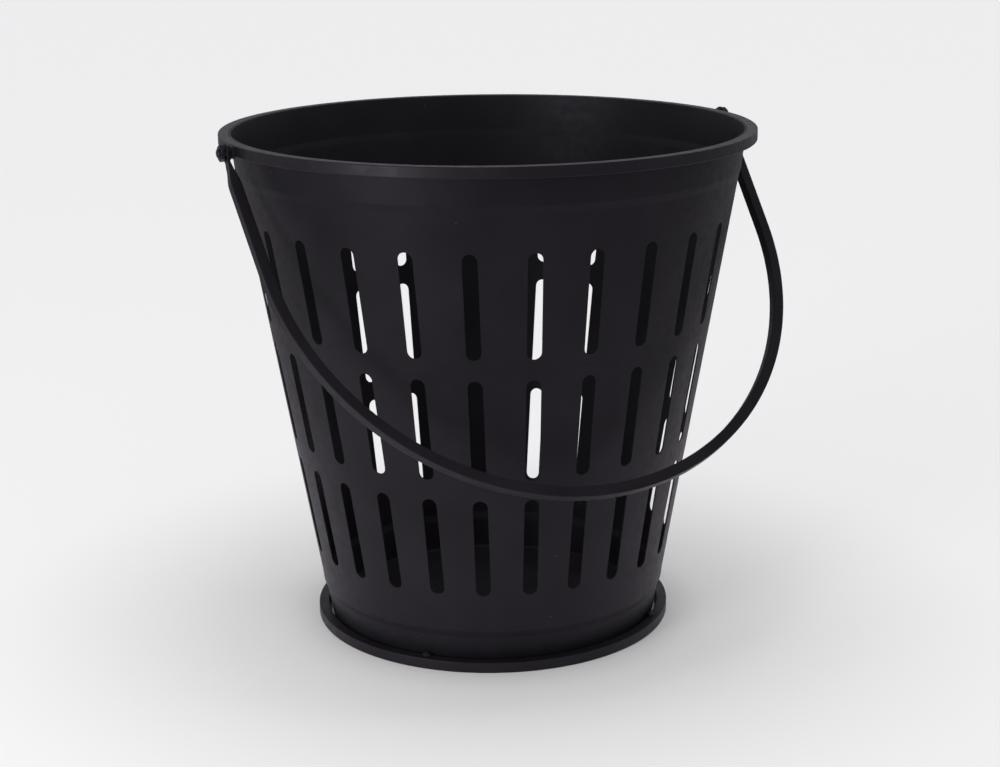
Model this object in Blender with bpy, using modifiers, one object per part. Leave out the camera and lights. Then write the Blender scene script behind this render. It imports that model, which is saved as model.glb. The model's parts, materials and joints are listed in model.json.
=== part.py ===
"""A florist bucket: a tapered, slotted sheet bucket with bar hoops and a swinging bail.

The bucket's axis is Z and it stands on z = 0. The bail turns about the X axis direction
through the two pivot studs, and hangs towards -Y, the bucket's front. Azimuths are
measured from the front (-Y) towards +X.
"""

import math

import bmesh
import bpy
from mathutils import Matrix, Vector

MM = 0.001
GAP = 0.3 * MM  # left between two pieces that touch

# The bucket
HEIGHT = 286 * MM
RIM_RADIUS = 150 * MM  # outside of the rim hoop
FOOT_RADIUS = 103.5 * MM  # outside of the foot hoop
BAR = 6 * MM  # side of the square bar of both hoops and of the bail
SHEET = 0.8 * MM
CONE_FOOT_RADIUS = 96.06 * MM  # outside of the sheet cone, carried down to z = 0
CONE_SLOPE = 0.1695  # growth of the cone's radius for each metre of height
PLATE_THICKNESS = 1 * MM
ROUND_STEPS = 72

# The shallow swaged steps round the sheet, where its radius changes over a short height
COLLAR_Z = 263 * MM
COLLAR_STEP = 0.7 * MM
BASE_Z = 21 * MM
BASE_STEP = 0.9 * MM
STEP_HALF_HEIGHT = 2 * MM

# The slots, in rows that share one set of azimuths
SLOT_WIDTH = 8 * MM
SLOT_LENGTH = 58.4 * MM  # measured up the slope of the sheet
ROW_HEIGHTS = (73.8 * MM, 142.7 * MM, 211.5 * MM)  # centres of the slots
SLOTS_IN_ROW = 25
SLOT_PITCH = math.radians(14)
FIRST_SLOT = math.radians(-113.5)
SLOT_LEAN = math.radians(-0.0074) / MM  # azimuth gained for each metre of height
LEAN_FROM_Z = 144 * MM
SLOT_END_SEGMENTS = 6
SLOT_CUTTER_DEPTH = 6.4 * MM

# The beads that tack the foot hoop to the sheet
FOOT_WELDS = 4
FIRST_WELD = math.radians(-48)
WELD_RADII = (1.6 * MM, 3.5 * MM, 1.4 * MM)  # radial, along the hoop, vertical
WELD_PLACE_RADIUS = 98.8 * MM
WELD_SEGMENTS = 12

# The pivots, outwards along the X axis from the face of the rim hoop
PIVOT_Z = 282 * MM
STUD_RADIUS = 2.5 * MM
STUD_FLANGE_RADIUS = 3.3 * MM
STUD_FLANGE_THICKNESS = 1.2 * MM
STUD_END_X = 158.8 * MM
STUD_DOME = 0.9 * MM
BORE_RADIUS = STUD_RADIUS + GAP
WASHER_RADIUS = 4.2 * MM
WASHER_THICKNESS = 1 * MM
NUT_ACROSS_FLATS = 8 * MM
NUT_THICKNESS = 2.4 * MM
SMALL_ROUND_STEPS = 24
BORE_CUTTER_DEPTH = 24 * MM

# The bail: two straight arms, tangent to one round bow
BAIL_HALF_WIDTH = 154.6 * MM  # from the bucket's axis to an arm's line, at the pivot axis
BOW_RADIUS = 151.2 * MM
BOW_DROP = 71.1 * MM  # from the pivot axis to the centre of the bow
BAIL_REST_ANGLE = math.radians(49)  # below level
EYE_X = 153.9 * MM  # the middle of an eye, on the pivot axis
EYE_RADIUS = 5 * MM
EYE_THICKNESS = 1.6 * MM
FLAT_THICKNESS = 1.4 * MM  # of the forged arm between the eye and the bar
FLAT_END_X = 154.6 * MM
FLAT_END_DROP = 8 * MM
TAPER_END = 20 * MM  # where the forged arm has grown to the full bar
BOW_STEPS = 35

SHARP_ANGLE = math.radians(30)
MERGE_DISTANCE = 0.01 * MM
COAT_TINT = (1, 0.97, 1.05)  # a black powder coat, very slightly violet


def clear_scene():
    for obj in list(bpy.data.objects):
        bpy.data.objects.remove(obj, do_unlink=True)


def new_collection(name):
    collection = bpy.data.collections.new(name)
    bpy.context.scene.collection.children.link(collection)
    return collection


def coated_metal(name, shade, roughness):
    """A dark powder coat; the shade is its linear grey."""
    material = bpy.data.materials.new(name)
    material.use_nodes = True
    shader = material.node_tree.nodes["Principled BSDF"]
    shader.inputs["Base Color"].default_value = (*(shade * part for part in COAT_TINT), 1)
    shader.inputs["Roughness"].default_value = roughness
    shader.inputs["Metallic"].default_value = 0
    return material


def add_object(name, mesh, collection, material=None):
    obj = bpy.data.objects.new(name, mesh)
    collection.objects.link(obj)
    if material:
        mesh.materials.append(material)
    return obj


def apply_modifiers(obj):
    """Turn the object's modifiers into its mesh, shaded smooth with crisp edges."""
    graph = bpy.context.evaluated_depsgraph_get()
    mesh = bpy.data.meshes.new_from_object(obj.evaluated_get(graph))
    obj.modifiers.clear()
    obj.data = mesh
    mesh.shade_smooth()
    mesh.set_sharp_from_angle(angle=SHARP_ANGLE)


def turned(name, profile, steps, collection, material=None, closed=False, sheet=0):
    """Turn a profile of (radius, z) about Z; a sheet thickness makes a shell inside it."""
    mesh = bpy.data.meshes.new(name)
    edges = [(i, i + 1) for i in range(len(profile) - 1)]
    if closed:
        edges.append((len(profile) - 1, 0))
    mesh.from_pydata([(radius, 0, z) for radius, z in profile], edges, [])
    obj = add_object(name, mesh, collection, material)
    screw = obj.modifiers.new("turn", "SCREW")
    screw.steps = steps
    screw.render_steps = steps
    screw.use_merge_vertices = True
    screw.merge_threshold = MERGE_DISTANCE
    if sheet:
        shell = obj.modifiers.new("sheet", "SOLIDIFY")
        shell.thickness = sheet
        shell.offset = -1
        shell.use_even_offset = True
    apply_modifiers(obj)
    return obj


def cut(obj, collection):
    boolean = obj.modifiers.new("cuts", "BOOLEAN")
    boolean.operation = "DIFFERENCE"
    boolean.operand_type = "COLLECTION"
    boolean.collection = collection


def as_helper(obj):
    obj.hide_render = True
    obj.display_type = "WIRE"


def cylinder_mesh(name, radius, depth, segments):
    mesh = bpy.data.meshes.new(name)
    shape = bmesh.new()
    bmesh.ops.create_cone(
        shape, cap_ends=True, segments=segments, radius1=radius, radius2=radius, depth=depth
    )
    shape.to_mesh(mesh)
    shape.free()
    return mesh


def cone_radius(z):
    return CONE_FOOT_RADIUS + CONE_SLOPE * z


def outward(azimuth):
    return Vector((math.sin(azimuth), -math.cos(azimuth), 0))


def slot_cutter_mesh():
    """A prism of stadium outline: Z is its depth, Y its length."""
    segments = 2 * SLOT_END_SEGMENTS
    flat_to_corner = 1 / math.cos(math.pi / segments)
    radius = SLOT_WIDTH / 2 * flat_to_corner
    mesh = cylinder_mesh("slot_outline", radius, SLOT_CUTTER_DEPTH, segments)
    half_turn = Matrix.Rotation(math.pi / segments, 4, "Z")
    mesh.transform(half_turn)
    straight = SLOT_LENGTH - SLOT_WIDTH
    for vertex in mesh.vertices:
        vertex.co.y += math.copysign(straight / 2, vertex.co.y)
    return mesh


def slot_cutters(collection):
    mesh = slot_cutter_mesh()
    for row, z in enumerate(ROW_HEIGHTS, 1):
        radius = cone_radius(z) - SHEET / 2
        for place in range(SLOTS_IN_ROW):
            azimuth = FIRST_SLOT + place * SLOT_PITCH + SLOT_LEAN * (z - LEAN_FROM_Z)
            cutter = bpy.data.objects.new(f"slot_{row}_{place + 1}", mesh)
            along = outward(azimuth + math.pi / 2)
            up = Vector((0, 0, 1)) + CONE_SLOPE * outward(azimuth)
            up = (up + SLOT_LEAN * radius * along).normalized()
            out = along.cross(up).normalized()
            frame = Matrix((up.cross(out), up, out)).transposed()
            place_at = Matrix.Translation(radius * outward(azimuth) + Vector((0, 0, z)))
            cutter.matrix_world = place_at @ frame.to_4x4()
            collection.objects.link(cutter)
            as_helper(cutter)


def wall_profile():
    """The sheet's outer line from its top edge down to the floor."""
    ring_bottom = HEIGHT - BAR
    neck_radius = RIM_RADIUS - BAR - GAP
    above_collar = COLLAR_Z + STEP_HALF_HEIGHT
    below_collar = COLLAR_Z - STEP_HALF_HEIGHT
    above_base = BASE_Z + STEP_HALF_HEIGHT
    below_base = BASE_Z - STEP_HALF_HEIGHT
    return [
        (neck_radius, HEIGHT - GAP),
        (neck_radius, ring_bottom - GAP),
        (cone_radius(above_collar) + COLLAR_STEP, above_collar),
        (cone_radius(below_collar), below_collar),
        (cone_radius(above_base), above_base),
        (cone_radius(below_base) - BASE_STEP, below_base),
        (cone_radius(0) - BASE_STEP, 0),
    ]


def bucket_wall(parts, helpers):
    material = coated_metal("wall_coat", 0.016, 0.5)
    wall = turned("bucket_wall", wall_profile(), ROUND_STEPS, parts, material, sheet=SHEET)
    cuts = bpy.data.collections.new("slot_cutters")
    helpers.children.link(cuts)
    slot_cutters(cuts)
    cut(wall, cuts)


def bottom_plate(parts):
    radius = cone_radius(0) - BASE_STEP - SHEET - GAP
    profile = [(0, PLATE_THICKNESS), (radius, PLATE_THICKNESS), (radius, 0), (0, 0)]
    turned("bottom_plate", profile, ROUND_STEPS, parts, coated_metal("plate_coat", 0.014, 0.55))


def hoop(name, outer_radius, base_z, parts, material):
    inner_radius = outer_radius - BAR
    top_z = base_z + BAR
    profile = [
        (outer_radius, top_z),
        (outer_radius, base_z),
        (inner_radius, base_z),
        (inner_radius, top_z),
    ]
    turned(name, profile, ROUND_STEPS, parts, material, closed=True)


def foot_welds(parts):
    material = coated_metal("weld_coat", 0.018, 0.45)
    mesh = bpy.data.meshes.new("foot_weld")
    shape = bmesh.new()
    bmesh.ops.create_uvsphere(
        shape, u_segments=WELD_SEGMENTS, v_segments=WELD_SEGMENTS // 2, radius=1
    )
    bmesh.ops.scale(shape, vec=WELD_RADII, verts=shape.verts)
    shape.to_mesh(mesh)
    shape.free()
    mesh.shade_smooth()
    mesh.materials.append(material)
    for number in range(FOOT_WELDS):
        azimuth = FIRST_WELD + number * math.tau / FOOT_WELDS
        bead = add_object(f"foot_weld_{number + 1}", mesh, parts)
        bead.location = WELD_PLACE_RADIUS * outward(azimuth)
        bead.location.z = BAR + GAP + WELD_RADII[2]
        bead.rotation_euler.z = azimuth - math.pi / 2


def turned_on_pivot(name, profile, side, parts, material, closed=False):
    """A small turned piece on one end of the pivot axis; its z is the distance from the axis."""
    obj = turned(name, profile, SMALL_ROUND_STEPS, parts, material, closed)
    obj.location.z = PIVOT_Z
    obj.rotation_euler.y = side * math.pi / 2
    return obj


def eye_faces():
    """The inner and outer faces of an eye, as distances from the bucket's axis."""
    return EYE_X - EYE_THICKNESS / 2, EYE_X + EYE_THICKNESS / 2


def pivot_stud(name, side, parts, material):
    root = RIM_RADIUS + GAP
    flange_face = root + STUD_FLANGE_THICKNESS
    profile = [
        (0, STUD_END_X),
        (STUD_RADIUS - STUD_DOME, STUD_END_X),
        (STUD_RADIUS, STUD_END_X - STUD_DOME),
        (STUD_RADIUS, flange_face),
        (STUD_FLANGE_RADIUS, flange_face),
        (STUD_FLANGE_RADIUS, root),
        (0, root),
    ]
    turned_on_pivot(name, profile, side, parts, material)


def pivot_washer(name, side, parts, material):
    outer_face = eye_faces()[0] - GAP
    inner_face = outer_face - WASHER_THICKNESS
    profile = [
        (WASHER_RADIUS, outer_face),
        (WASHER_RADIUS, inner_face),
        (BORE_RADIUS, inner_face),
        (BORE_RADIUS, outer_face),
    ]
    turned_on_pivot(name, profile, side, parts, material, closed=True)


def pivot_nut(name, side, parts, bores, material):
    corner_radius = NUT_ACROSS_FLATS / 2 / math.cos(math.pi / 6)
    mesh = cylinder_mesh(name, corner_radius, NUT_THICKNESS, 6)
    nut = add_object(name, mesh, parts, material)
    middle = eye_faces()[1] + GAP + NUT_THICKNESS / 2
    nut.location = (side * middle, 0, PIVOT_Z)
    nut.rotation_euler.y = side * math.pi / 2
    cut(nut, bores)


def bore_cutters(helpers, pivot):
    """One round cutter along the pivot axis at each end, for the bail's eyes and the nuts."""
    bores = bpy.data.collections.new("bore_cutters")
    helpers.children.link(bores)
    mesh = cylinder_mesh("bore", BORE_RADIUS, BORE_CUTTER_DEPTH, SMALL_ROUND_STEPS)
    for side in (1, -1):
        cutter = bpy.data.objects.new("bore", mesh)
        cutter.parent = pivot
        cutter.location.x = side * EYE_X
        cutter.rotation_euler.y = math.pi / 2
        bores.objects.link(cutter)
        as_helper(cutter)
    return bores


def bail_centreline():
    """(point, width) pairs from one eye round to the other, the arms running down -Y."""
    arm_top = Vector((BAIL_HALF_WIDTH, 0))
    bow_centre = Vector((0, -BOW_DROP))
    from_centre = arm_top - bow_centre
    to_tangent = math.acos(BOW_RADIUS / from_centre.length)
    start = to_tangent - math.atan2(from_centre.y, from_centre.x)
    bow = []
    for step in range(BOW_STEPS + 1):
        angle = -(start + (math.pi - 2 * start) * step / BOW_STEPS)
        bow.append(bow_centre + BOW_RADIUS * Vector((math.cos(angle), math.sin(angle))))
    arm = (bow[0] - arm_top).normalized()
    half = [
        (Vector((EYE_X, 0)), FLAT_THICKNESS),
        (Vector((EYE_X, -EYE_RADIUS)), FLAT_THICKNESS),
        (Vector((FLAT_END_X, -FLAT_END_DROP)), FLAT_THICKNESS),
        (arm_top + TAPER_END * arm, BAR),
    ]
    other = [(Vector((-point.x, point.y)), width) for point, width in reversed(half)]
    return half + [(point, BAR) for point in bow] + other


def bail_outline():
    line = bail_centreline()
    left = []
    right = []
    for index, (point, width) in enumerate(line):
        before = line[max(index - 1, 0)][0]
        after = line[min(index + 1, len(line) - 1)][0]
        along = (after - before).normalized()
        across = Vector((-along.y, along.x)) * width / 2
        left.append(point + across)
        right.append(point - across)
    return left + right[::-1]


def flat_bar(name, outline, thickness, collection, material):
    """A closed mesh of a flat outline in the XY plane, thickened both ways along Z."""
    curve = bpy.data.curves.new(name, "CURVE")
    curve.dimensions = "2D"
    curve.fill_mode = "BOTH"
    curve.extrude = thickness / 2
    spline = curve.splines.new("POLY")
    spline.points.add(len(outline) - 1)
    for point, corner in zip(spline.points, outline):
        point.co = (corner.x, corner.y, 0, 1)
    spline.use_cyclic_u = True
    source = add_object(name + "_outline", curve, collection)
    graph = bpy.context.evaluated_depsgraph_get()
    mesh = bpy.data.meshes.new_from_object(source.evaluated_get(graph))
    bpy.data.objects.remove(source)
    shape = bmesh.new()
    shape.from_mesh(mesh)
    bmesh.ops.remove_doubles(shape, verts=shape.verts, dist=MERGE_DISTANCE)
    bmesh.ops.recalc_face_normals(shape, faces=shape.faces)
    shape.to_mesh(mesh)
    shape.free()
    return add_object(name, mesh, collection, material)


def eye_discs(helpers, pivot):
    """The round forged eyes, as helpers that are joined to the bail's arms."""
    eyes = bpy.data.collections.new("eye_discs")
    helpers.children.link(eyes)
    mesh = cylinder_mesh("eye_disc", EYE_RADIUS, EYE_THICKNESS, SMALL_ROUND_STEPS)
    for side in (1, -1):
        eye = bpy.data.objects.new("eye_disc", mesh)
        eye.parent = pivot
        eye.location.x = side * EYE_X
        eye.rotation_euler.y = math.pi / 2
        eyes.objects.link(eye)
        as_helper(eye)
    return eyes


def bail_handle(parts, eyes, bores, pivot):
    material = coated_metal("bail_coat", 0.014, 0.42)
    bail = flat_bar("bail_handle", bail_outline(), BAR, parts, material)
    bail.parent = pivot
    join = bail.modifiers.new("eyes", "BOOLEAN")
    join.operation = "UNION"
    join.operand_type = "COLLECTION"
    join.collection = eyes
    cut(bail, bores)


def bail_pivot(parts):
    """The empty on the pivot axis; it carries the bail at its resting angle."""
    pivot = bpy.data.objects.new("bail_pivot", None)
    pivot.location.z = PIVOT_Z
    pivot.rotation_euler.x = BAIL_REST_ANGLE
    pivot.empty_display_size = BAR
    parts.objects.link(pivot)
    return pivot


def pivot_hardware(parts, bores):
    stud_coat = coated_metal("stud_coat", 0.016, 0.4)
    washer_coat = coated_metal("washer_coat", 0.012, 0.45)
    nut_coat = coated_metal("nut_coat", 0.018, 0.38)
    for side, name in ((-1, "left"), (1, "right")):
        pivot_stud(f"pivot_stud_{name}", side, parts, stud_coat)
        pivot_washer(f"pivot_washer_{name}", side, parts, washer_coat)
        pivot_nut(f"pivot_nut_{name}", side, parts, bores, nut_coat)


def main():
    clear_scene()
    parts = new_collection("florist_bucket")
    helpers = new_collection("cutters")
    bucket_wall(parts, helpers)
    bottom_plate(parts)
    hoop("rim_ring", RIM_RADIUS, HEIGHT - BAR, parts, coated_metal("rim_coat", 0.02, 0.45))
    hoop("foot_ring", FOOT_RADIUS, 0, parts, coated_metal("foot_coat", 0.018, 0.45))
    foot_welds(parts)
    pivot = bail_pivot(parts)
    bores = bore_cutters(helpers, pivot)
    eyes = eye_discs(helpers, pivot)
    bail_handle(parts, eyes, bores, pivot)
    pivot_hardware(parts, bores)


main()
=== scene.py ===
"""The florist bucket's looks: coated sheet, square bar and pivot hardware as fine meshes.

Lengths are in metres. Azimuths are measured round Z, from the front (-Y) towards +X.
"""

import json
import math

import bmesh
import bpy
from mathutils import Matrix, Vector, noise


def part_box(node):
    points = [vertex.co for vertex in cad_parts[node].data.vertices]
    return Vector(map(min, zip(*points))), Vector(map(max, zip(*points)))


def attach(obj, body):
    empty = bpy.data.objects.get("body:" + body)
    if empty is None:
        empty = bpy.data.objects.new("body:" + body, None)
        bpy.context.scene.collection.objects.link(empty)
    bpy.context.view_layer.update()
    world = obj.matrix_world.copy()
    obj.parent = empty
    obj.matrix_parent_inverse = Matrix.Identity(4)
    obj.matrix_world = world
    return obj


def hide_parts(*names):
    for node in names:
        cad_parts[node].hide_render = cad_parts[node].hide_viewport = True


MM = 0.001
WELD_DISTANCE = 0.001 * MM
SHEET_WELD_DISTANCE = 0.02 * MM
CREASE_ANGLE = math.radians(50)  # edges sharper than this are rounded
FLAT_FACE_WEIGHT = 100

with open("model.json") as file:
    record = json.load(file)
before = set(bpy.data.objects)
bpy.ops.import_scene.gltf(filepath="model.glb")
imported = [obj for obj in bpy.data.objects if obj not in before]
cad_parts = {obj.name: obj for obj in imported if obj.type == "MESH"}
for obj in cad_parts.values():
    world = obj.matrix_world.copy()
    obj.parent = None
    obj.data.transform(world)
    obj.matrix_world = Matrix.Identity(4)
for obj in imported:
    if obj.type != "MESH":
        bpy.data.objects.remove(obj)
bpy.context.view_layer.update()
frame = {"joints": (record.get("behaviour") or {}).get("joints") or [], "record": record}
record = frame["record"]

# Places and sizes that the frame gives
PIVOT = Vector(frame["joints"][0]["pos_m"])
RIM_LOW, RIM_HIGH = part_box("rim_ring")
FOOT_LOW, FOOT_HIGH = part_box("foot_ring")
WALL_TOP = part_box("bucket_wall")[1].z
PLATE_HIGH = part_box("bottom_plate")[1]
NUT_LOW, NUT_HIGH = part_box("pivot_nut_right")
WASHER_LOW, WASHER_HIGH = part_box("pivot_washer_right")
STUD_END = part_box("pivot_stud_right")[1].x
BAR = RIM_HIGH.z - RIM_LOW.z
GRIP_AXIS = Vector(next(m["axis"] for m in record["mounts"] if m["name"] == "bail_grip"))

# The sheet: one cone with a shallow step near each end and an upright neck in the rim hoop
SHEET = 0.8 * MM
CONE_FOOT_RADIUS = 96.06 * MM
CONE_SLOPE = 0.1695
COLLAR_Z = 263 * MM
COLLAR_STEP = 0.45 * MM
BASE_Z = 21 * MM
BASE_STEP = 0.9 * MM
BASE_SWELL = 0.25 * MM  # the sheet bulges a little above the base step
SWELL_HEIGHT = 6 * MM
STEP_HALF_HEIGHT = 2 * MM
STEP_BEND = 2.5 * MM  # radius of the bends of a step
NECK_GAP = 0.2 * MM  # between the sheet's top edge and the hoop
SHEET_EDGE = 0.16 * MM
SEAM_AZIMUTH = math.radians(-125.5)
SEAM_HALF_WIDTH = math.radians(0.75)
SEAM_RISE = 0.25 * MM
SEAM_COLUMNS = (0, 0.25, 0.5, 0.75, 1.1, 1.8, 3.2)  # degrees from the seam

# The slots
SLOT_WIDTH = 8 * MM
SLOT_LENGTH = 58.4 * MM  # up the slope
ROW_HEIGHTS = (73.8 * MM, 142.7 * MM, 211.5 * MM)
SLOTS_IN_ROW = 25
SLOT_PITCH = math.radians(14)
FIRST_SLOT = math.radians(-113.5)
SLOT_LEAN = math.radians(-0.0074) / MM  # azimuth gained for each metre of height
LEAN_FROM_Z = 144 * MM
END_STEPS = 12
SIDE_STEPS = 12
RING_SHARES = (0, 0.1, 0.4, 0.7, 1)  # of the way from a slot's edge to its cell's edge

# The hoops and the bail's bar
BAR_EDGE = 0.55 * MM
CORNER_STEPS = 4
HOOP_STEPS = 300
PLATE_FILLET = ((-3, 0), (-1.2, 0.15), (-0.4, 0.6), (0.1, 1.2))  # mm past its edge and top
PLATE_LAP = 0.2 * MM
FOOT_WELDS = 4
BEAD_REACH = 2.2 * MM  # across the top of the foot hoop
BEAD_SINK = 0.2 * MM
BEAD_OVERLAP = 0.5 * MM
BEAD_HALF_LENGTH = 2.6 * MM
BEAD_HALF_HEIGHT = 1.9 * MM
BEAD_SUBDIVISIONS = 5
RIPPLES = 9
RIPPLE_BEND = 2.5
RIPPLE_DEPTH = 0.07
LUMP_SCALE = 1.7
LUMP_SPREAD = 50
LUMP_DEPTH = 0.12

# The bail, in its own plane: two straight arms, tangent to one round bow
BAIL_HALF_WIDTH = 154.6 * MM
BOW_RADIUS = 151.2 * MM
BOW_DROP = 71.1 * MM
BOW_STEPS = 110
EYE_RADIUS = 5 * MM
EYE_BORE = 2.8 * MM
EYE_PLAY = 0.35 * MM  # between an eye and the washer or nut beside it
EYE_OUTER = NUT_LOW.x - EYE_PLAY
EYE_THICKNESS = EYE_OUTER - WASHER_HIGH.x - EYE_PLAY
CIRCLE_END = 3.1 * MM  # from the eye's centre to where its outline leaves the circle
NECK_START = 7.5 * MM  # to where the outline has run into the bar
JOGGLE = 0.5 * MM  # how far the neck's outer face stands outside the eye's
NUT_REACH = 4.2 * MM  # from the pivot axis, all of it kept clear of the joggle
HEAD_LENGTH = 9 * MM
TAPER_START = 6.5 * MM
TAPER_END = 21 * MM
EYE_STEPS = 40
NECK_STEPS = 8
TAPER_STEPS = 10
ARM_STEPS = 8
ACROSS_STEPS = 8
HEAD_RINGS = (0, 0.32, 0.66, 1)  # of the way from the bore to the eye's outline

# The pivot hardware
STUD_RADIUS = 2.5 * MM
THREAD_PITCH = 0.8 * MM
THREAD_DEPTH = 0.36 * MM
THREAD_STEEPNESS = 2.4
THREAD_CREST = 0.7  # what is taken off the dip, so that the crest has a width
ROWS_PER_THREAD = 8
STUD_DOME = 0.9 * MM
DOME_RISE = 0.8  # of the dome's radius
DOME_STEPS = 6
STUD_STEPS = 48
BOSS_RADIUS = 3.3 * MM
BOSS_FLARE = 0.25 * MM
BOSS_EDGE = 0.2 * MM
BOSS_SINK = 0.5 * MM  # how far the boss is welded into the hoop's face
BOSS_GAP = 0.3 * MM
WASHER_EDGE = 0.22 * MM
WASHER_PLAY = 0.15 * MM
NUT_ACROSS_FLATS = 8 * MM
NUT_CORNER = 4.58 * MM
NUT_BORE = 2.45 * MM
NUT_COUNTERSINK = 0.45 * MM
NUT_FACE = 4.05 * MM
NUT_SOFTENING = 0.2 * MM
NUT_CHAMFER = math.radians(30)
NUT_STEPS = 96

# The coats: roughness, specular level, wear of the edges, and height of the grain
COATS = {
    "wall_coat": (0.46, 0.22, 0.25, 1),
    "plate_coat": (0.52, 0.22, 0.3, 1),
    "rim_coat": (0.42, 0.25, 0.35, 0.8),
    "foot_coat": (0.42, 0.25, 0.45, 0.8),
    "weld_coat": (0.4, 0.25, 0.3, 1),
    "stud_coat": (0.38, 0.3, 0.5, 0.6),
    "washer_coat": (0.4, 0.3, 0.5, 0.6),
    "nut_coat": (0.36, 0.3, 0.6, 0.6),
    "bail_coat": (0.42, 0.25, 0.35, 0.8),
}
COAT_DEPTH = 0.55  # the coat's mean shade, as a part of the record's colour
COAT_TINT = (1.06, 1, 1.16)
DARK_PART = 0.8
LIGHT_PART = 1.25
WORN_PART = 4.5
GLOSSIER = 0.05
DULLER = 0.06
WEAR_FROM = 0.52  # pointiness where an edge begins to count as worn
WEAR_TO = 0.6
WEAR_PATCHES = (0.42, 0.66, 0.15, 1)  # noise from and to, wear from and to
CLOUD_RANGE = (0.35, 0.65)  # of the noise, from the dark shade to the light one
MOTTLE_RANGE = (0.3, 0.7)  # from the glossier patches to the duller ones
SPECK_CELLS = 80  # for each metre
SPECK_RADIUS = (0.012, 0.024)  # of a cell, where a speck begins to fade and where it ends
SPECK_CHOICE = (0.8, 0.82)  # only cells past this hold a speck
DUST_COLOUR = (0.16, 0.155, 0.15)
# Noises in cycles for each metre
WEAR_NOISE = 160
CLOUD_NOISE = 26
MOTTLE_NOISE = 210
PEEL_NOISE = 620
FINE_NOISE = 2300
SPECULAR_TINT = (0.93, 0.88, 1, 1)
PEEL_HEIGHT = 0.03 * MM
FINE_HEIGHT = 0.01 * MM

# The camera: where it stands round the bucket, how far off, how high, and how it is turned
CAMERA_AZIMUTH = math.radians(-26)
CAMERA_DISTANCE = 1.0634
CAMERA_HEIGHT = 0.4288
CAMERA_PITCH = 0.2686
CAMERA_YAW = 0.0051
CAMERA_ROLL = -0.0093
CAMERA_LENS = 68.3
SENSOR_WIDTH = 36

# The studio
SKY_HORIZON = 0.53
SKY_ZENITH = 0.15
SKY_SEEN = 0.85  # the plain pale backdrop beyond the floor
SHINE_TINT = (1.01, 0.98, 1.03)  # of what the sky and the paper shine back
OVERHEAD_POWER = 2.1
OVERHEAD_ANGLE = math.radians(60)
LEFT_LIGHT_AZIMUTH = math.radians(-42)  # from the camera's
LEFT_LIGHT_ELEVATION = math.radians(6)
LEFT_LIGHT_DISTANCE = 1.5
LEFT_LIGHT_SIZE = 0.5
LEFT_LIGHT_POWER = 7
FLOOR_SHADE = 0.9
# The next three constants paint a pool of light into the paper's colour, seen only in what the
# paper shines back: the full paper shade within the pool's radius, fading to a darker painted
# shade by the outer radius.
FLOOR_PAINTED_SHADE = 0.3
PAINTED_POOL_RADIUS = 0.18
PAINTED_FADE_RADIUS = 0.9
FLOOR_SIZE = 30
FLOOR_DROP = 0.05 * MM
PAPER_ROUGHNESS = 0.9


def outward(azimuth):
    return Vector((math.sin(azimuth), -math.cos(azimuth), 0))


def rounded_corner(before, corner, after, radius, steps):
    """Points of the arc that rounds one corner of a polyline."""
    to_before = (before - corner).normalized()
    to_after = (after - corner).normalized()
    half_angle = to_before.angle(to_after) / 2
    centre = corner + (to_before + to_after).normalized() * radius / math.sin(half_angle)
    start = corner + to_before * radius / math.tan(half_angle) - centre
    end = corner + to_after * radius / math.tan(half_angle) - centre
    sweep = math.pi - 2 * half_angle
    points = []
    for step in range(steps + 1):
        share = step / steps
        arm = math.sin((1 - share) * sweep) * start + math.sin(share * sweep) * end
        points.append(centre + arm / math.sin(sweep))
    return points


def rounded_outline(corners, radius, closed=True):
    """A polyline of (radius, z) corners, each rounded; an open one keeps its two ends."""
    corners = [Vector(corner) for corner in corners]
    count = len(corners)
    points = []
    for index, corner in enumerate(corners):
        if not closed and index in (0, count - 1):
            points.append(corner)
            continue
        before = corners[index - 1]
        after = corners[(index + 1) % count]
        points += rounded_corner(before, corner, after, radius, CORNER_STEPS)
    return points


def finished_mesh(name, shape, weld=WELD_DISTANCE):
    """Weld a bmesh, turn its faces outwards if it is closed, and shade it smooth."""
    bmesh.ops.remove_doubles(shape, verts=shape.verts, dist=weld)
    if all(edge.is_manifold for edge in shape.edges):
        bmesh.ops.recalc_face_normals(shape, faces=shape.faces)
    mesh = bpy.data.meshes.new(name)
    shape.to_mesh(mesh)
    shape.free()
    mesh.shade_smooth()
    return mesh


def new_piece(name, mesh):
    piece = bpy.data.objects.new(name, mesh)
    bpy.context.scene.collection.objects.link(piece)
    return piece


def apply_modifiers(piece):
    graph = bpy.context.evaluated_depsgraph_get()
    mesh = bpy.data.meshes.new_from_object(piece.evaluated_get(graph))
    piece.modifiers.clear()
    piece.data = mesh


def bevel_edges(piece, width, segments=2):
    bevel = piece.modifiers.new("soft_edges", "BEVEL")
    bevel.width = width
    bevel.segments = segments
    bevel.limit_method = "ANGLE"
    bevel.angle_limit = CREASE_ANGLE
    bevel.harden_normals = True


def weight_normals(piece):
    """Let the large flat faces set the shading, so the narrow roundings stay crisp."""
    weighted = piece.modifiers.new("flat_faces", "WEIGHTED_NORMAL")
    weighted.weight = FLAT_FACE_WEIGHT
    weighted.keep_sharp = True


def skin(shape, rows, closed_rows=False, closed_columns=False):
    """Quads between rows of vertices, all rows of the same length."""
    row_pairs = list(zip(rows, rows[1:]))
    if closed_rows:
        row_pairs.append((rows[-1], rows[0]))
    for low, high in row_pairs:
        count = len(low)
        last = count if closed_columns else count - 1
        for index in range(last):
            after = (index + 1) % count
            corners = [low[index], low[after], high[after], high[index]]
            shape.faces.new(corners)


def turned_rows(shape, outline, steps):
    """Rings of vertices round Z for the (radius, z) points of an outline."""
    rows = []
    for radius, z in outline:
        ring = []
        for step in range(steps):
            place = radius * outward(math.tau * step / steps)
            place.z = z
            ring.append(shape.verts.new(place))
        rows.append(ring)
    return rows


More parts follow.
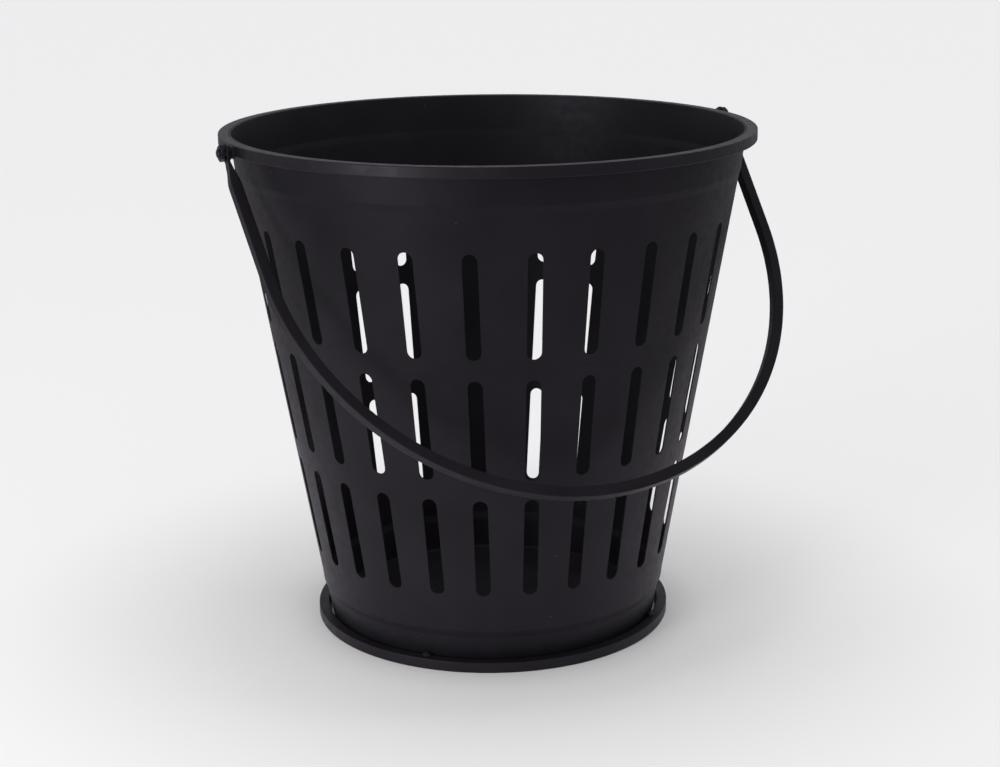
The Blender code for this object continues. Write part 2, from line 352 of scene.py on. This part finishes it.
def turned_mesh(name, outline, steps, closed):
    shape = bmesh.new()
    rows = turned_rows(shape, outline, steps)
    skin(shape, rows, closed_rows=closed, closed_columns=True)
    return finished_mesh(name, shape)


# The slotted wall


def cone_radius(z):
    return CONE_FOOT_RADIUS + CONE_SLOPE * z


def wall_profile():
    """The sheet's outer line from the floor to its top edge, with its bends rounded."""
    swell_end = BASE_Z + STEP_HALF_HEIGHT + SWELL_HEIGHT
    below_base = BASE_Z - STEP_HALF_HEIGHT
    above_base = BASE_Z + STEP_HALF_HEIGHT
    below_collar = COLLAR_Z - STEP_HALF_HEIGHT
    above_collar = COLLAR_Z + STEP_HALF_HEIGHT
    neck_radius = RIM_HIGH.x - BAR - NECK_GAP
    base = [
        (cone_radius(0) - BASE_STEP, 0),
        (cone_radius(below_base) - BASE_STEP, below_base),
        (cone_radius(above_base) + BASE_SWELL, above_base),
        (cone_radius(swell_end), swell_end),
        (cone_radius(ROW_HEIGHTS[1]), ROW_HEIGHTS[1]),
    ]
    collar = [
        (cone_radius(ROW_HEIGHTS[1]), ROW_HEIGHTS[1]),
        (cone_radius(below_collar), below_collar),
        (cone_radius(above_collar) + COLLAR_STEP, above_collar),
        (neck_radius, WALL_TOP),
    ]
    low = rounded_outline(base, STEP_BEND, closed=False)[:-1]
    high = rounded_outline(collar, STEP_BEND, closed=False)[1:]
    return low + high


PROFILE = wall_profile()


def wall_radius(z):
    """The radius of the sheet's outside at a height, read from its profile."""
    for low, high in zip(PROFILE, PROFILE[1:]):
        if z <= high.y:
            share = (z - low.y) / (high.y - low.y)
            return low.x + share * (high.x - low.x)
    return PROFILE[-1].x


def wall_point(azimuth, z):
    from_seam = abs(azimuth - SEAM_AZIMUTH) % math.tau
    from_seam = min(from_seam, math.tau - from_seam)
    rise = 0
    if from_seam < SEAM_HALF_WIDTH:
        rise = SEAM_RISE * (1 + math.cos(math.pi * from_seam / SEAM_HALF_WIDTH)) / 2
    leaned = azimuth + SLOT_LEAN * (z - LEAN_FROM_Z)
    place = (wall_radius(z) + rise) * outward(leaned)
    place.z = z
    return place


def spaced(first, last, steps):
    return [first + (last - first) * step / steps for step in range(steps + 1)]


def stadium_offsets():
    """The slot's outline, anticlockwise from the top right, as (across, up the slope)."""
    radius = SLOT_WIDTH / 2
    half = SLOT_LENGTH / 2 - radius
    points = []
    for step in range(END_STEPS):
        angle = math.pi * step / END_STEPS
        points.append(Vector((radius * math.cos(angle), half + radius * math.sin(angle))))
    for step in range(SIDE_STEPS):
        points.append(Vector((-radius, half - 2 * half * step / SIDE_STEPS)))
    return points + [-point for point in points]


def cell_offsets(half_pitch, half_height):
    """The cell's outline in (azimuth, z), matched to the slot's outline point by point."""
    points = []
    for step in range(END_STEPS):
        points.append(Vector((half_pitch * (1 - 2 * step / END_STEPS), half_height)))
    for step in range(SIDE_STEPS):
        points.append(Vector((-half_pitch, half_height * (1 - 2 * step / SIDE_STEPS))))
    return points + [-point for point in points]


def add_cell(shape, azimuth, z, half_height):
    """One slot and the sheet round it, as rings from the slot's edge to the cell's edge."""
    upright = math.cos(math.atan(CONE_SLOPE))
    inner = []
    for across, up in stadium_offsets():
        height = z + up * upright
        inner.append(Vector((azimuth + across / cone_radius(height), height)))
    centre = Vector((azimuth, z))
    outer = [centre + offset for offset in cell_offsets(SLOT_PITCH / 2, half_height)]
    rows = []
    for share in RING_SHARES:
        ring = [near.lerp(far, share) for near, far in zip(inner, outer)]
        rows.append([shape.verts.new(wall_point(*point)) for point in ring])
    for near, far in zip(rows, rows[1:]):
        count = len(near)
        for index in range(count):
            after = (index + 1) % count
            shape.faces.new([near[index], far[index], far[after], near[after]])


def add_grid(shape, azimuths, heights):
    rows = []
    for z in heights:
        rows.append([shape.verts.new(wall_point(azimuth, z)) for azimuth in azimuths])
    skin(shape, rows)


def seam_azimuths():
    """Columns of the plain strip that holds the seam, closer together next to it."""
    end = (math.tau - SLOTS_IN_ROW * SLOT_PITCH) / 2
    away = [math.radians(degrees) for degrees in SEAM_COLUMNS] + [end]
    before = [SEAM_AZIMUTH - step for step in reversed(away)]
    return before[:-1] + [SEAM_AZIMUTH + step for step in away]


def slotted_wall():
    pitch = ROW_HEIGHTS[1] - ROW_HEIGHTS[0]
    cells_from = ROW_HEIGHTS[0] - pitch / 2
    cells_to = ROW_HEIGHTS[2] + pitch / 2
    first = FIRST_SLOT - SLOT_PITCH / 2
    last = first + SLOTS_IN_ROW * SLOT_PITCH
    slot_columns = spaced(first, last, SLOTS_IN_ROW * END_STEPS)
    all_columns = seam_azimuths()[:-1] + slot_columns
    below = [point.y for point in PROFILE if point.y < cells_from]
    above = [point.y for point in PROFILE if point.y > cells_to]
    shape = bmesh.new()
    add_grid(shape, all_columns, below + [(below[-1] + cells_from) / 2, cells_from])
    add_grid(shape, all_columns, [cells_to, (above[0] + cells_to) / 2] + above)
    for z in ROW_HEIGHTS:
        heights = spaced(z - pitch / 2, z + pitch / 2, SIDE_STEPS)
        add_grid(shape, seam_azimuths(), heights)
        for slot in range(SLOTS_IN_ROW):
            add_cell(shape, FIRST_SLOT + slot * SLOT_PITCH, z, pitch / 2)
    wall = new_piece("slotted_wall", finished_mesh("slotted_wall", shape, SHEET_WELD_DISTANCE))
    sheet = wall.modifiers.new("sheet", "SOLIDIFY")
    sheet.thickness = SHEET
    sheet.offset = -1
    sheet.use_even_offset = True
    bevel_edges(wall, SHEET_EDGE)
    apply_modifiers(wall)
    return wall


# The hoops, the base and its beads


def hoop(name, low, high):
    """A square bar bent into a ring, with rounded edges."""
    outer = high.x
    inner = high.x - BAR
    corners = [(outer, low.z), (outer, high.z), (inner, high.z), (inner, low.z)]
    outline = rounded_outline(corners, BAR_EDGE)
    piece = new_piece(name, turned_mesh(name, outline, HOOP_STEPS, closed=True))
    weight_normals(piece)
    apply_modifiers(piece)
    return piece


def base_plate():
    """A flat disc whose rim turns up a little into the welded joint with the wall."""
    radius = PLATE_HIGH.x
    top = PLATE_HIGH.z
    outline = [(0, top), (radius / 3, top), (2 * radius / 3, top)]
    outline += [(radius + out * MM, top + up * MM) for out, up in PLATE_FILLET]
    outline += [(radius + PLATE_LAP, 0), (radius / 2, 0), (0, 0)]
    return new_piece("base_plate", turned_mesh("base_plate", outline, HOOP_STEPS, closed=False))


def foot_bead(name, node):
    """A rippled tack weld in the corner between the wall and the top of the foot hoop."""
    low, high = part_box(node)
    centre = (low + high) / 2
    azimuth = math.atan2(centre.x, -centre.y)
    out = outward(azimuth)
    along = outward(azimuth + math.pi / 2)
    up = Vector((0, 0, 1))
    wall = wall_radius(centre.z)
    reach = FOOT_HIGH.x - BAR + BEAD_REACH
    middle = (wall + reach) / 2 * out + up * (FOOT_HIGH.z - BEAD_SINK)
    sizes = ((reach - wall) / 2 + BEAD_OVERLAP, BEAD_HALF_LENGTH, BEAD_HALF_HEIGHT)
    shape = bmesh.new()
    bmesh.ops.create_icosphere(shape, subdivisions=BEAD_SUBDIVISIONS, radius=1)
    for vertex in shape.verts:
        unit = vertex.co.copy()
        ripple = 1 + RIPPLE_DEPTH * math.cos(RIPPLES * unit.y + RIPPLE_BEND * unit.x ** 2)
        lump = 1 + LUMP_DEPTH * noise.noise(LUMP_SCALE * unit + centre * LUMP_SPREAD)
        scaled = [size * part * ripple * lump for size, part in zip(sizes, unit)]
        vertex.co = middle + scaled[0] * out + scaled[1] * along + scaled[2] * up
    return new_piece(name, finished_mesh(name, shape))


# The bail


def arm_slant():
    """The angle between an arm and the bail's own Y axis."""
    from_centre = Vector((BAIL_HALF_WIDTH, BOW_DROP))
    to_tangent = math.acos(BOW_RADIUS / from_centre.length)
    return to_tangent - math.atan2(from_centre.y, from_centre.x)


def arm_line(drop):
    """How far the middle of a straight arm is from the bail's own axis."""
    return BAIL_HALF_WIDTH - drop * math.tan(arm_slant())


def smooth(share):
    share = min(max(share, 0), 1)
    return share * share * (3 - 2 * share)


def between(first, second, share):
    return first + (second - first) * share


def arm_faces(drop):
    """The outer and inner faces of a forged arm, as distances from the bail's own axis."""
    half_bar = BAR / 2 / math.cos(arm_slant())
    joggled = EYE_OUTER + JOGGLE * smooth((drop - NUT_REACH) / (HEAD_LENGTH - NUT_REACH))
    to_bar = smooth((drop - HEAD_LENGTH) / (TAPER_END - HEAD_LENGTH))
    outer = between(joggled, arm_line(drop) + half_bar, to_bar)
    thickened = smooth((drop - TAPER_START) / (TAPER_END - TAPER_START))
    return outer, outer - between(EYE_THICKNESS, 2 * half_bar, thickened)


def arm_half_width(drop):
    """Half the arm's width: the eye's circle runs into the sides of the bar."""
    if drop < CIRCLE_END:
        return math.sqrt(EYE_RADIUS ** 2 - drop ** 2)
    width = math.sqrt(EYE_RADIUS ** 2 - CIRCLE_END ** 2)
    length = NECK_START - CIRCLE_END
    share = min((drop - CIRCLE_END) / length, 1)
    slope = -CIRCLE_END / width * length
    return between(width, BAR / 2, smooth(share)) + slope * share * (1 - share) ** 2


def forged_sections():
    """(outer point, inner point, half width) down one forged arm to the full bar."""
    sections = []
    for drop in spaced(HEAD_LENGTH, TAPER_END, TAPER_STEPS)[1:]:
        outer, inner = arm_faces(drop)
        sections.append((Vector((outer, -drop)), Vector((inner, -drop)), arm_half_width(drop)))
    return sections


def bar_sections():
    """The same for half of the full bar: a straight arm and half of the bow."""
    slant = arm_slant()
    centre = Vector((0, -BOW_DROP))
    top = Vector((arm_line(TAPER_END), -TAPER_END))
    tangent = centre + BOW_RADIUS * Vector((math.cos(slant), -math.sin(slant)))
    path = [(top.lerp(tangent, share), -slant) for share in spaced(0, 1, ARM_STEPS)[1:-1]]
    for angle in spaced(-slant, -math.pi / 2, BOW_STEPS // 2):
        path.append((centre + BOW_RADIUS * Vector((math.cos(angle), math.sin(angle))), angle))
    sections = []
    for point, angle in path:
        across = BAR / 2 * Vector((math.cos(angle), math.sin(angle)))
        sections.append((point + across, point - across, BAR / 2))
    return sections


def mirrored(section):
    outer, inner, half_width = section
    return Vector((-outer.x, outer.y)), Vector((-inner.x, inner.y)), half_width


def head_outline():
    """An eye's outline in (y, z), from one side of the arm round to the other."""
    neck = spaced(HEAD_LENGTH, CIRCLE_END, NECK_STEPS)[:-1]
    points = [Vector((-length, arm_half_width(length))) for length in neck]
    turn = math.acos(CIRCLE_END / EYE_RADIUS)
    for angle in spaced(turn, math.tau - turn, EYE_STEPS):
        points.append(EYE_RADIUS * Vector((-math.cos(angle), math.sin(angle))))
    return points + [Vector((point.x, -point.y)) for point in reversed(points[:NECK_STEPS])]


def add_head(shape, side):
    """A forged eye with its bore. Gives the rows of vertices that its arm goes on from."""
    outline = head_outline()
    half_width = arm_half_width(HEAD_LENGTH)
    chord = [Vector((-HEAD_LENGTH, z)) for z in spaced(-half_width, half_width, ACROSS_STEPS)]
    boundary = outline + chord[1:-1]
    bore = [point.normalized() * EYE_BORE for point in boundary]
    flat_sides = []
    for face in (0, 1):
        rows = []
        for share in HEAD_RINGS:
            ring = []
            for near, far in zip(bore, boundary):
                y, z = near.lerp(far, share)
                ring.append(shape.verts.new((side * arm_faces(-y)[face], y, z)))
            rows.append(ring)
        skin(shape, rows, closed_columns=True)
        flat_sides.append(rows)
    outer, inner = flat_sides
    last = len(outline)
    skin(shape, [outer[0], inner[0]], closed_columns=True)
    skin(shape, [outer[-1][:last], inner[-1][:last]])
    return [[rows[-1][last - 1]] + rows[-1][last:] + [rows[-1][0]] for rows in flat_sides]


def bail_bar():
    """The square bar of the bail, forged flat into a bored eye at each end."""
    shape = bmesh.new()
    outer_start, inner_start = add_head(shape, 1)
    outer_end, inner_end = add_head(shape, -1)
    half = forged_sections() + bar_sections()
    outer = [outer_start]
    inner = [inner_start]
    for section in half + [mirrored(section) for section in reversed(half[:-1])]:
        half_width = section[2]
        for rows, place in zip((outer, inner), section):
            row = []
            for z in spaced(-half_width, half_width, ACROSS_STEPS):
                row.append(shape.verts.new((place.x, place.y, z)))
            rows.append(row)
    outer.append(outer_end)
    inner.append(inner_end)
    skin(shape, outer)
    skin(shape, inner)
    for end in (0, -1):
        skin(shape, [[row[end] for row in outer], [row[end] for row in inner]])
    bar = new_piece("bail_bar", finished_mesh("bail_bar", shape))
    down = math.atan2(GRIP_AXIS.z, GRIP_AXIS.y)
    bar.data.transform(Matrix.Translation(PIVOT) @ Matrix.Rotation(down, 4, "X"))
    bevel_edges(bar, BAR_EDGE, segments=3)
    apply_modifiers(bar)
    return bar


# The pivot hardware, drawn along +Z and then turned onto one end of the pivot axis


def on_pivot(name, mesh, side):
    piece = new_piece(name, mesh)
    turn = Matrix.Rotation(side * math.pi / 2, 4, "Y")
    mesh.transform(Matrix.Translation((0, 0, PIVOT.z)) @ turn)
    weight_normals(piece)
    apply_modifiers(piece)
    return piece


def thread_dip(z, azimuth):
    """How far the thread's flank lies below its crest, from 0 to 1."""
    phase = (z / THREAD_PITCH - azimuth / math.tau) % 1
    return min(max(THREAD_STEEPNESS * abs(2 * phase - 1) - THREAD_CREST, 0), 1)


def threaded_stud(name, side):
    """A weld boss, a threaded shank and a rounded end."""
    root = RIM_HIGH.x - BOSS_SINK
    face = WASHER_LOW.x - BOSS_GAP
    outline = [(0, root, 0), (BOSS_RADIUS + BOSS_FLARE, root, 0)]
    outline += [(BOSS_RADIUS + BOSS_FLARE, RIM_HIGH.x + BOSS_FLARE / 2, 0)]
    outline += [(BOSS_RADIUS, RIM_HIGH.x + 2 * BOSS_FLARE, 0), (BOSS_RADIUS, face - BOSS_EDGE, 0)]
    outline += [(BOSS_RADIUS - BOSS_EDGE, face, 0), (STUD_RADIUS, face, 0)]
    thread_end = STUD_END - STUD_DOME
    steps = round((thread_end - face) / THREAD_PITCH * ROWS_PER_THREAD)
    for z in spaced(face + BOSS_EDGE, thread_end, steps):
        fade = min((z - face) / THREAD_PITCH, 1)
        outline.append((STUD_RADIUS, z, fade))
    for angle in spaced(0, math.pi / 2, DOME_STEPS)[1:]:
        radius = STUD_RADIUS - STUD_DOME * (1 - math.cos(angle))
        rise = DOME_RISE * STUD_DOME * math.sin(angle)
        outline.append((radius, thread_end + rise, 1 - math.sin(angle)))
    outline.append((0, STUD_END, 0))
    shape = bmesh.new()
    rows = []
    for radius, z, thread in outline:
        ring = []
        for step in range(STUD_STEPS):
            azimuth = math.tau * step / STUD_STEPS
            dip = THREAD_DEPTH * thread * thread_dip(z, azimuth)
            place = max(radius - dip, 0) * outward(azimuth)
            ring.append(shape.verts.new((place.x, place.y, z)))
        rows.append(ring)
    skin(shape, rows, closed_columns=True)
    return on_pivot(name, finished_mesh(name, shape), side)


def round_washer(name, side):
    outer = WASHER_HIGH.z - PIVOT.z
    inner = STUD_RADIUS + WASHER_PLAY
    corners = [(outer, WASHER_LOW.x), (outer, WASHER_HIGH.x), (inner, WASHER_HIGH.x)]
    corners.append((inner, WASHER_LOW.x))
    outline = rounded_outline(corners, WASHER_EDGE)
    return on_pivot(name, turned_mesh(name, outline, STUD_STEPS * 2, closed=True), side)


def hexagon_radius(azimuth):
    """The nut's radius in a direction, with its corners slightly rounded."""
    from_flat = (azimuth + math.pi / 6) % (math.pi / 3) - math.pi / 6
    return min(NUT_ACROSS_FLATS / 2 / math.cos(from_flat), NUT_CORNER)


def nut_ring(shape, radius, z):
    """A ring of vertices on a circle."""
    ring = []
    for step in range(NUT_STEPS):
        point = radius * outward(math.tau * step / NUT_STEPS)
        ring.append(shape.verts.new((point.x, point.y, z)))
    return ring


def hexagon_ring(shape, inset, height, middle, face):
    """A ring just inside the hexagon; its corners fall back from a face as the chamfer does."""
    ring = []
    for step in range(NUT_STEPS):
        azimuth = math.tau * step / NUT_STEPS
        radius = hexagon_radius(azimuth) - inset
        lower = height - (radius - NUT_FACE) * math.tan(NUT_CHAMFER)
        point = radius * outward(azimuth)
        ring.append(shape.verts.new((point.x, point.y, middle + face * lower)))
    return ring


def hex_nut(name, side):
    """A chamfered nut with a countersunk bore, alike on both faces."""
    half = (NUT_HIGH.x - NUT_LOW.x) / 2
    middle = (NUT_HIGH.x + NUT_LOW.x) / 2
    top = [(NUT_BORE, half - NUT_COUNTERSINK), (NUT_BORE + NUT_COUNTERSINK, half)]
    top += [(NUT_FACE - NUT_SOFTENING, half), (NUT_FACE, half - NUT_SOFTENING / 4)]
    edge = [(NUT_SOFTENING / 3, half - NUT_SOFTENING / 4), (0, half - NUT_SOFTENING)]
    edge.append((0, half / 3))
    shape = bmesh.new()
    rows = [nut_ring(shape, radius, middle + height) for radius, height in top]
    rows += [hexagon_ring(shape, inset, height, middle, 1) for inset, height in edge]
    rows += [hexagon_ring(shape, inset, height, middle, -1) for inset, height in reversed(edge)]
    rows += [nut_ring(shape, radius, middle - height) for radius, height in reversed(top)]
    skin(shape, rows, closed_rows=True, closed_columns=True)
    return on_pivot(name, finished_mesh(name, shape), side)


# The powder coats


def add_node(tree, kind, **inputs):
    """A shader node with some of its inputs set, or linked to another node's output."""
    node = tree.nodes.new("ShaderNode" + kind)
    for name, value in inputs.items():
        socket = node.inputs[name.replace("_", " ")]
        if isinstance(value, bpy.types.NodeSocket):
            tree.links.new(value, socket)
        else:
            socket.default_value = value
    return node


def noise_value(tree, where, scale, detail):
    return add_node(tree, "TexNoise", Vector=where, Scale=scale, Detail=detail).outputs["Fac"]


def ranged(tree, value, low, high, to_low, to_high):
    node = add_node(tree, "MapRange", Value=value, From_Min=low, From_Max=high)
    node.inputs["To Min"].default_value = to_low
    node.inputs["To Max"].default_value = to_high
    return node.outputs["Result"]


def product(tree, first, second):
    node = tree.nodes.new("ShaderNodeMath")
    node.operation = "MULTIPLY"
    tree.links.new(first, node.inputs[0])
    if isinstance(second, bpy.types.NodeSocket):
        tree.links.new(second, node.inputs[1])
    else:
        node.inputs[1].default_value = second
    return node.outputs["Value"]


def mixed(tree, share, first, second):
    node = tree.nodes.new("ShaderNodeMix")
    node.data_type = "RGBA"
    tree.links.new(share, node.inputs["Factor"])
    for value, socket in ((first, node.inputs["A"]), (second, node.inputs["B"])):
        if isinstance(value, bpy.types.NodeSocket):
            tree.links.new(value, socket)
        else:
            socket.default_value = (*value, 1)
    return node.outputs["Result"]


def edge_wear(tree, where):
    """Where the coat is rubbed thin: on outer edges, broken up by a noise."""
    edges = tree.nodes.new("ShaderNodeNewGeometry").outputs["Pointiness"]
    convex = ranged(tree, edges, WEAR_FROM, WEAR_TO, 0, 1)
    patches = ranged(tree, noise_value(tree, where, WEAR_NOISE, 4), *WEAR_PATCHES)
    return product(tree, convex, patches)


def dust_specks(tree, where):
    """Rare small pale grains that sit on the coat."""
    cells = add_node(tree, "TexVoronoi", Vector=where, Scale=SPECK_CELLS)
    near = ranged(tree, cells.outputs["Distance"], *SPECK_RADIUS, 1, 0)
    split = add_node(tree, "SeparateColor", Color=cells.outputs["Color"])
    chosen = ranged(tree, split.outputs["Red"], *SPECK_CHOICE, 0, 1)
    return product(tree, near, chosen)


def powder_coat(slot):
    """A dark powder coat: mottled colour, uneven gloss, orange peel, worn edges and specks."""
    roughness, specular, wear, grain = COATS[slot]
    plain = next(m["base_color"] for m in record["materials"] if m["slot"] == slot)
    base = [COAT_DEPTH * part * tint for part, tint in zip(plain, COAT_TINT)]
    material = bpy.data.materials.new(slot + "_powder")
    material.use_nodes = True
    tree = material.node_tree
    shader = tree.nodes["Principled BSDF"]
    where = tree.nodes.new("ShaderNodeTexCoord").outputs["Object"]
    clouds = noise_value(tree, where, CLOUD_NOISE, 3)
    mottle = noise_value(tree, where, MOTTLE_NOISE, 4)
    dark = [DARK_PART * part for part in base]
    light = [LIGHT_PART * part for part in base]
    colour = mixed(tree, ranged(tree, clouds, *CLOUD_RANGE, 0, 1), dark, light)
    worn = product(tree, edge_wear(tree, where), wear)
    colour = mixed(tree, worn, colour, [WORN_PART * part for part in base])
    colour = mixed(tree, dust_specks(tree, where), colour, DUST_COLOUR)
    tree.links.new(colour, shader.inputs["Base Color"])
    gloss = ranged(tree, mottle, *MOTTLE_RANGE, roughness - GLOSSIER, roughness + DULLER)
    tree.links.new(gloss, shader.inputs["Roughness"])
    shader.inputs["Specular IOR Level"].default_value = specular
    shader.inputs["Specular Tint"].default_value = SPECULAR_TINT
    peel = noise_value(tree, where, PEEL_NOISE, 2)
    fine = noise_value(tree, where, FINE_NOISE, 3)
    first = add_node(tree, "Bump", Height=peel, Distance=PEEL_HEIGHT * grain, Strength=1.0)
    second = add_node(tree, "Bump", Height=fine, Distance=FINE_HEIGHT * grain, Strength=1.0)
    tree.links.new(first.outputs["Normal"], second.inputs["Normal"])
    tree.links.new(second.outputs["Normal"], shader.inputs["Normal"])
    return material


def finish_piece(piece, body, material, slot, *nodes):
    """Give a piece its coat and its body, and let it stand for its CAD nodes."""
    piece.data.materials.clear()
    piece.data.materials.append(material)
    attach(piece, body)
    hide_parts(*nodes)


# The studio


def pale_floor():
    """Evenly pale paper to the camera; what it shines back at the bucket has a painted pool of
    light in the middle and painted shade farther out.
    """
    shape = bmesh.new()
    bmesh.ops.create_grid(shape, x_segments=2, y_segments=2, size=FLOOR_SIZE / 2)
    floor = new_piece("floor", finished_mesh("floor", shape))
    floor.location.z = -FLOOR_DROP
    material = bpy.data.materials.new("floor_paper")
    material.use_nodes = True
    tree = material.node_tree
    shader = tree.nodes["Principled BSDF"]
    where = tree.nodes.new("ShaderNodeTexCoord").outputs["Object"]
    # Painted pool of light: the paper's colour falls from its full shade near the middle to a
    # painted shade farther out.
    away = add_node(tree, "VectorMath", Vector=where)
    away.operation = "LENGTH"
    painted_pool = ranged(tree, away.outputs["Value"], PAINTED_POOL_RADIUS, PAINTED_FADE_RADIUS, 1, 0)
    painted_pool = product(tree, painted_pool, painted_pool)
    painted_dim = [FLOOR_PAINTED_SHADE * part for part in SHINE_TINT]
    paper = mixed(tree, painted_pool, painted_dim, [FLOOR_SHADE * part for part in SHINE_TINT])
    # Camera rays see the even paper shade; all other rays see the painted pool of light and the
    # painted shade.
    seen = tree.nodes.new("ShaderNodeLightPath").outputs["Is Camera Ray"]
    paper = mixed(tree, seen, paper, [FLOOR_SHADE] * 3)
    tree.links.new(paper, shader.inputs["Base Color"])
    shader.inputs["Roughness"].default_value = PAPER_ROUGHNESS
    shader.inputs["Specular IOR Level"].default_value = 0
    floor.data.materials.append(material)


def studio_sky():
    world = bpy.data.worlds.new("studio")
    world.use_nodes = True
    tree = world.node_tree
    ray = tree.nodes.new("ShaderNodeTexCoord").outputs["Generated"]
    height = add_node(tree, "SeparateXYZ", Vector=ray).outputs["Z"]
    horizon = [SKY_HORIZON * part for part in SHINE_TINT]
    zenith = [SKY_ZENITH * part for part in SHINE_TINT]
    sky = mixed(tree, ranged(tree, height, 0, 1, 0, 1), horizon, zenith)
    seen = tree.nodes.new("ShaderNodeLightPath").outputs["Is Camera Ray"]
    sky = mixed(tree, seen, sky, [SKY_SEEN] * 3)
    tree.links.new(sky, tree.nodes["Background"].inputs["Color"])
    bpy.context.scene.world = world


def overhead_light():
    data = bpy.data.lights.new("overhead", "SUN")
    data.energy = OVERHEAD_POWER
    data.angle = OVERHEAD_ANGLE
    lamp = new_piece("overhead", data)
    lamp.visible_glossy = False


def left_light():
    """A square softbox aimed at the bucket."""
    data = bpy.data.lights.new("left_light", "AREA")
    data.shape = "SQUARE"
    data.size = LEFT_LIGHT_SIZE
    data.energy = LEFT_LIGHT_POWER
    lamp = new_piece("left_light", data)
    ray = math.cos(LEFT_LIGHT_ELEVATION) * outward(CAMERA_AZIMUTH + LEFT_LIGHT_AZIMUTH)
    ray.z = math.sin(LEFT_LIGHT_ELEVATION)
    middle = Vector((0, 0, RIM_HIGH.z / 2))
    turn = ray.to_track_quat("Z", "Y").to_matrix().to_4x4()
    lamp.matrix_world = Matrix.Translation(middle + LEFT_LIGHT_DISTANCE * ray) @ turn


def studio_camera():
    data = bpy.data.cameras.new("camera")
    data.lens = CAMERA_LENS
    data.sensor_width = SENSOR_WIDTH
    camera = new_piece("camera", data)
    place = Matrix.Translation((0, -CAMERA_DISTANCE, CAMERA_HEIGHT))
    yaw = Matrix.Rotation(-CAMERA_YAW, 4, "Z")
    tilt = Matrix.Rotation(math.pi / 2 - CAMERA_PITCH, 4, "X")
    roll = Matrix.Rotation(CAMERA_ROLL, 4, "Z")
    camera.matrix_world = Matrix.Rotation(CAMERA_AZIMUTH, 4, "Z") @ place @ yaw @ tilt @ roll
    bpy.context.scene.camera = camera


def build_bucket():
    rim_coat = powder_coat("rim_coat")
    foot_coat = powder_coat("foot_coat")
    weld_coat = powder_coat("weld_coat")
    wall_coat = powder_coat("wall_coat")
    plate_coat = powder_coat("plate_coat")
    finish_piece(slotted_wall(), "bucket", wall_coat, "wall_coat", "bucket_wall")
    finish_piece(base_plate(), "bucket", plate_coat, "plate_coat", "bottom_plate")
    rim = hoop("rim_hoop", RIM_LOW, RIM_HIGH)
    finish_piece(rim, "bucket", rim_coat, "rim_coat", "rim_ring")
    foot = hoop("foot_hoop", FOOT_LOW, FOOT_HIGH)
    finish_piece(foot, "bucket", foot_coat, "foot_coat", "foot_ring")
    for number in range(1, FOOT_WELDS + 1):
        node = f"foot_weld_{number}"
        bead = foot_bead(f"foot_bead_{number}", node)
        finish_piece(bead, "bucket", weld_coat, "weld_coat", node)


def build_pivots():
    stud_coat = powder_coat("stud_coat")
    washer_coat = powder_coat("washer_coat")
    nut_coat = powder_coat("nut_coat")
    for side, name in ((-1, "left"), (1, "right")):
        stud = threaded_stud(f"threaded_stud_{name}", side)
        finish_piece(stud, "bucket", stud_coat, "stud_coat", f"pivot_stud_{name}")
        washer = round_washer(f"round_washer_{name}", side)
        finish_piece(washer, "bucket", washer_coat, "washer_coat", f"pivot_washer_{name}")
        nut = hex_nut(f"hex_nut_{name}", side)
        finish_piece(nut, "bucket", nut_coat, "nut_coat", f"pivot_nut_{name}")


def build_bail():
    bail_coat = powder_coat("bail_coat")
    finish_piece(bail_bar(), "bail", bail_coat, "bail_coat", "bail_handle")


build_bucket()
build_pivots()
build_bail()
pale_floor()
studio_sky()
overhead_light()
left_light()
studio_camera()
bpy.context.scene.view_settings.view_transform = "Standard"
